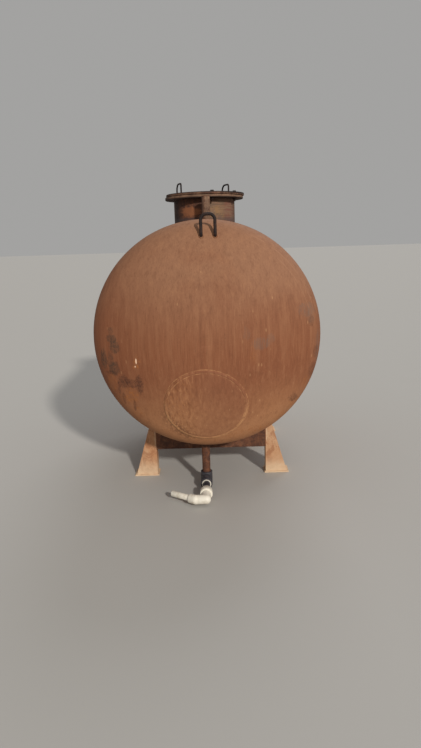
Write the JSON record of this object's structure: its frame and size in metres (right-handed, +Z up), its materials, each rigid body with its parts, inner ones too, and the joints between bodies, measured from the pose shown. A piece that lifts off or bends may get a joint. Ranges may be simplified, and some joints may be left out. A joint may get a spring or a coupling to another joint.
{
  "type": "horizontal pressure tank",
  "caption": "Horizontal steel pressure tank with dished ends on two saddles, with a bolted manhole, a vent stub, lifting hooks and a drain line.",
  "frame": {"origin": "on the floor, under the middle of the tank", "axes": "+Z up, +Y along the tank's axis from the patched front end to the rear, +X to the right seen from the front"},
  "size_m": [1.506, 2.3134, 2.132],
  "materials": {
    "rusted_shell": "weathered and evenly rusted, matt",
    "rusted_dark": "dark rust with traces of old paint, matt",
    "weld_bead": "rusted weld metal, matt",
    "blackened_steel": "dark oxidised rod, matt",
    "saddle_steel": "pale dusty rust, matt",
    "gasket_rubber": "aged, matt",
    "white_plastic": "aged white pipe plastic, a little dusty",
    "grey_plastic": "dark grey pipe plastic, dusty"
  },
  "bodies": {
    "root": {"shell": "rusted_shell", "front_head": "rusted_shell", "rear_head": "rusted_shell", "front_girth_weld": "weld_bead", "rear_girth_weld": "weld_bead", "long_seam_weld": "weld_bead", "patch_plate": "rusted_shell", "patch_weld": "weld_bead", "lifting_hook_front": "blackened_steel", "lifting_hook_rear": "blackened_steel", "manhole_neck": "rusted_dark", "neck_weld": "weld_bead", "manhole_flange": "rusted_dark", "gasket": "gasket_rubber", "manhole_lid": "rusted_dark", "lid_handle_left": "blackened_steel", "lid_handle_right": "blackened_steel", "lid_bolt_1": "blackened_steel", "lid_bolt_2": "blackened_steel", "lid_bolt_3": "blackened_steel", "lid_bolt_4": "blackened_steel", "vent_pipe": "rusted_dark", "vent_weld": "weld_bead", "vent_cap": "rusted_dark", "drain_stub": "rusted_dark", "drain_weld": "weld_bead", "drain_grey_elbow": "grey_plastic", "drain_bush": "white_plastic", "drain_run_pipe": "grey_plastic", "drain_white_elbow": "white_plastic", "drain_slight_bend": "white_plastic", "drain_outlet_pipe": "white_plastic", "front_left_leg": "saddle_steel", "front_left_foot": "saddle_steel", "front_right_leg": "saddle_steel", "front_right_foot": "saddle_steel", "front_cross_beam": "saddle_steel", "front_wear_plate": "rusted_shell", "rear_left_leg": "saddle_steel", "rear_left_foot": "saddle_steel", "rear_right_leg": "saddle_steel", "rear_right_foot": "saddle_steel", "rear_cross_beam": "saddle_steel", "rear_wear_plate": "rusted_shell"}
  },
  "joints": []
}
